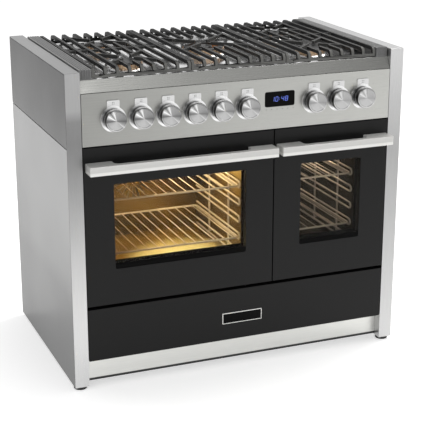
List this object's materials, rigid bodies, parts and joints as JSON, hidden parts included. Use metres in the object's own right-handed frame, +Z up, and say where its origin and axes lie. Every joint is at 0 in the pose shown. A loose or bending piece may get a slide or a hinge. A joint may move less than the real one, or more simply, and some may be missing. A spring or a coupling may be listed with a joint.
{
  "type": "range cooker",
  "caption": "Free-standing range cooker with side-by-side ovens behind drop-down glass doors, a storage drawer, a row of control knobs with a clock and a gas hob with cast-iron grates.",
  "frame": {"origin": "on the floor, under the middle of the overall box, handles included", "axes": "+X to the right seen from the front, +Y to the back, +Z up"},
  "size_m": [1, 0.658, 0.905],
  "materials": {
    "steel_trim": "satin brushed stainless steel",
    "steel_side": "satin brushed stainless steel",
    "steel_upper_side": "satin brushed stainless steel, darker than the lower panel",
    "steel_panel": "brushed stainless steel, grain across the panel",
    "steel_hob": "brushed stainless steel",
    "steel_plinth": "satin stainless steel",
    "galvanised": "galvanised sheet steel",
    "chassis_paint": "dark grey paint",
    "foot_plastic": "matt black",
    "rail_paint": "satin black enamel",
    "grate_iron": "matt black enamelled cast iron",
    "cup_aluminium": "cast aluminium",
    "head_brass": "brass, dulled by heat",
    "cap_enamel": "matt black enamel",
    "electrode_ceramic": "white ceramic with a steel tip",
    "pipe_aluminium": "drawn aluminium tube",
    "clock_glass": "black glass front on a black housing",
    "bezel_metal": "satin steel",
    "knob_metal": "turned and brushed",
    "spindle_steel": "plain steel",
    "valve_brass": "plain brass",
    "switch_plastic": "cream plastic",
    "pipe_steel": "zinc-plated steel",
    "oven_enamel": "glossy dark vitreous enamel",
    "seal_rubber": "matt black",
    "wire_chrome": "bright plated wire",
    "fan_aluminium": "plain aluminium sheet",
    "motor_paint": "grey paint",
    "element_steel": "steel tube darkened by heat",
    "lamp_glass": "clear heat-proof glass",
    "door_paint": "satin charcoal paint",
    "liner_enamel": "grey enamel",
    "door_glass": "clear, slightly smoked glass",
    "handle_metal": "satin"
  },
  "bodies": {
    "cooker": {"side_trim_left": "steel_trim", "side_trim_right": "steel_trim", "upper_side_panels": "steel_upper_side", "lower_side_panels": "steel_side", "back_panel": "galvanised", "base_pan": "galvanised", "plinth": "steel_plinth", "levelling_feet": "foot_plastic", "chassis": "chassis_paint", "hob_top": "steel_hob", "side_rails": "rail_paint", "burner_cups": "cup_aluminium", "burner_heads": "head_brass", "burner_caps": "cap_enamel", "ignition_electrodes": "electrode_ceramic", "burner_pipes": "pipe_aluminium", "control_panel": "steel_panel", "clock": "clock_glass", "knob_bezels": "bezel_metal", "gas_valves": "valve_brass", "oven_switches": "switch_plastic", "gas_manifold": "pipe_steel", "main_oven_cavity": "oven_enamel", "second_oven_cavity": "oven_enamel", "door_seals": "seal_rubber", "shelf_ladders": "wire_chrome", "oven_racks": "wire_chrome", "fan_cover": "oven_enamel", "fan_motor": "motor_paint", "heating_elements": "element_steel", "oven_lamps": "lamp_glass", "drawer_runners": "galvanised"},
    "left_door": {"left_door_panel": "door_paint", "left_door_liner": "liner_enamel", "left_door_glass": "door_glass", "left_door_handle": "handle_metal"},
    "right_door": {"right_door_panel": "door_paint", "right_door_liner": "liner_enamel", "right_door_glass": "door_glass", "right_door_handle": "handle_metal"},
    "drawer": {"drawer_front": "door_paint", "drawer_box": "galvanised"},
    "grate_left_body": {"grate_left": "grate_iron"},
    "grate_middle_body": {"grate_middle": "grate_iron"},
    "grate_right_body": {"grate_right": "grate_iron"},
    "fan_body": {"convection_fan": "fan_aluminium"},
    "push_spindle_1": {"valve_spindle_1": "spindle_steel"},
    "push_spindle_2": {"valve_spindle_2": "spindle_steel"},
    "push_spindle_3": {"valve_spindle_3": "spindle_steel"},
    "push_spindle_4": {"valve_spindle_4": "spindle_steel"},
    "push_spindle_5": {"valve_spindle_5": "spindle_steel"},
    "gas_knob_1_body": {"gas_knob_1": "knob_metal"},
    "gas_knob_2_body": {"gas_knob_2": "knob_metal"},
    "gas_knob_3_body": {"gas_knob_3": "knob_metal"},
    "gas_knob_4_body": {"gas_knob_4": "knob_metal"},
    "gas_knob_5_body": {"gas_knob_5": "knob_metal"},
    "oven_knob_1_body": {"oven_knob_1": "knob_metal"},
    "oven_knob_2_body": {"oven_knob_2": "knob_metal"},
    "oven_knob_3_body": {"oven_knob_3": "knob_metal"},
    "oven_knob_4_body": {"oven_knob_4": "knob_metal"}
  },
  "joints": [
    {"name": "left_door_hinge", "type": "hinge", "parent": "cooker", "child": "left_door", "pos_m": [-0.18025, -0.269, 0.252], "axis": [1, 0, 0], "range_deg": [0, 90]},
    {"name": "right_door_hinge", "type": "hinge", "parent": "cooker", "child": "right_door", "pos_m": [0.27825, -0.269, 0.252], "axis": [1, 0, 0], "range_deg": [0, 90]},
    {"name": "drawer_slide", "type": "slide", "parent": "cooker", "child": "drawer", "axis": [0, -1, 0], "range_m": [0, 0.34]},
    {"name": "grate_left_lift", "type": "slide", "parent": "cooker", "child": "grate_left_body", "axis": [0, 0, 1], "range_m": [0, 0.15]},
    {"name": "grate_middle_lift", "type": "slide", "parent": "cooker", "child": "grate_middle_body", "axis": [0, 0, 1], "range_m": [0, 0.15]},
    {"name": "grate_right_lift", "type": "slide", "parent": "cooker", "child": "grate_right_body", "axis": [0, 0, 1], "range_m": [0, 0.15]},
    {"name": "fan_spin", "type": "hinge", "parent": "cooker", "child": "fan_body", "pos_m": [-0.18025, 0.162, 0.47], "axis": [0, 1, 0], "continuous": true},
    {"name": "valve_push_1", "type": "slide", "parent": "cooker", "child": "push_spindle_1", "axis": [0, 1, 0], "range_m": [0, 0.0035], "stiffness_N_per_m": 1500, "springref_m": -0.004},
    {"name": "gas_knob_1_turn", "type": "hinge", "parent": "push_spindle_1", "child": "gas_knob_1_body", "pos_m": [-0.371, -0.3, 0.77], "axis": [0, -1, 0], "range_deg": [0, 210]},
    {"name": "valve_push_2", "type": "slide", "parent": "cooker", "child": "push_spindle_2", "axis": [0, 1, 0], "range_m": [0, 0.0035], "stiffness_N_per_m": 1500, "springref_m": -0.004},
    {"name": "gas_knob_2_turn", "type": "hinge", "parent": "push_spindle_2", "child": "gas_knob_2_body", "pos_m": [-0.294, -0.3, 0.77], "axis": [0, -1, 0], "range_deg": [0, 210]},
    {"name": "valve_push_3", "type": "slide", "parent": "cooker", "child": "push_spindle_3", "axis": [0, 1, 0], "range_m": [0, 0.0035], "stiffness_N_per_m": 1500, "springref_m": -0.004},
    {"name": "gas_knob_3_turn", "type": "hinge", "parent": "push_spindle_3", "child": "gas_knob_3_body", "pos_m": [-0.217, -0.3, 0.77], "axis": [0, -1, 0], "range_deg": [0, 210]},
    {"name": "valve_push_4", "type": "slide", "parent": "cooker", "child": "push_spindle_4", "axis": [0, 1, 0], "range_m": [0, 0.0035], "stiffness_N_per_m": 1500, "springref_m": -0.004},
    {"name": "gas_knob_4_turn", "type": "hinge", "parent": "push_spindle_4", "child": "gas_knob_4_body", "pos_m": [-0.14, -0.3, 0.77], "axis": [0, -1, 0], "range_deg": [0, 210]},
    {"name": "valve_push_5", "type": "slide", "parent": "cooker", "child": "push_spindle_5", "axis": [0, 1, 0], "range_m": [0, 0.0035], "stiffness_N_per_m": 1500, "springref_m": -0.004},
    {"name": "gas_knob_5_turn", "type": "hinge", "parent": "push_spindle_5", "child": "gas_knob_5_body", "pos_m": [-0.063, -0.3, 0.77], "axis": [0, -1, 0], "range_deg": [0, 210]},
    {"name": "oven_knob_1_turn", "type": "hinge", "parent": "cooker", "child": "oven_knob_1_body", "pos_m": [0.014, -0.3, 0.77], "axis": [0, 1, 0], "range_deg": [0, 290]},
    {"name": "oven_knob_2_turn", "type": "hinge", "parent": "cooker", "child": "oven_knob_2_body", "pos_m": [0.217, -0.3, 0.77], "axis": [0, 1, 0], "continuous": true},
    {"name": "oven_knob_3_turn", "type": "hinge", "parent": "cooker", "child": "oven_knob_3_body", "pos_m": [0.294, -0.3, 0.77], "axis": [0, 1, 0], "continuous": true},
    {"name": "oven_knob_4_turn", "type": "hinge", "parent": "cooker", "child": "oven_knob_4_body", "pos_m": [0.371, -0.3, 0.77], "axis": [0, 1, 0], "range_deg": [0, 290]}
  ]
}
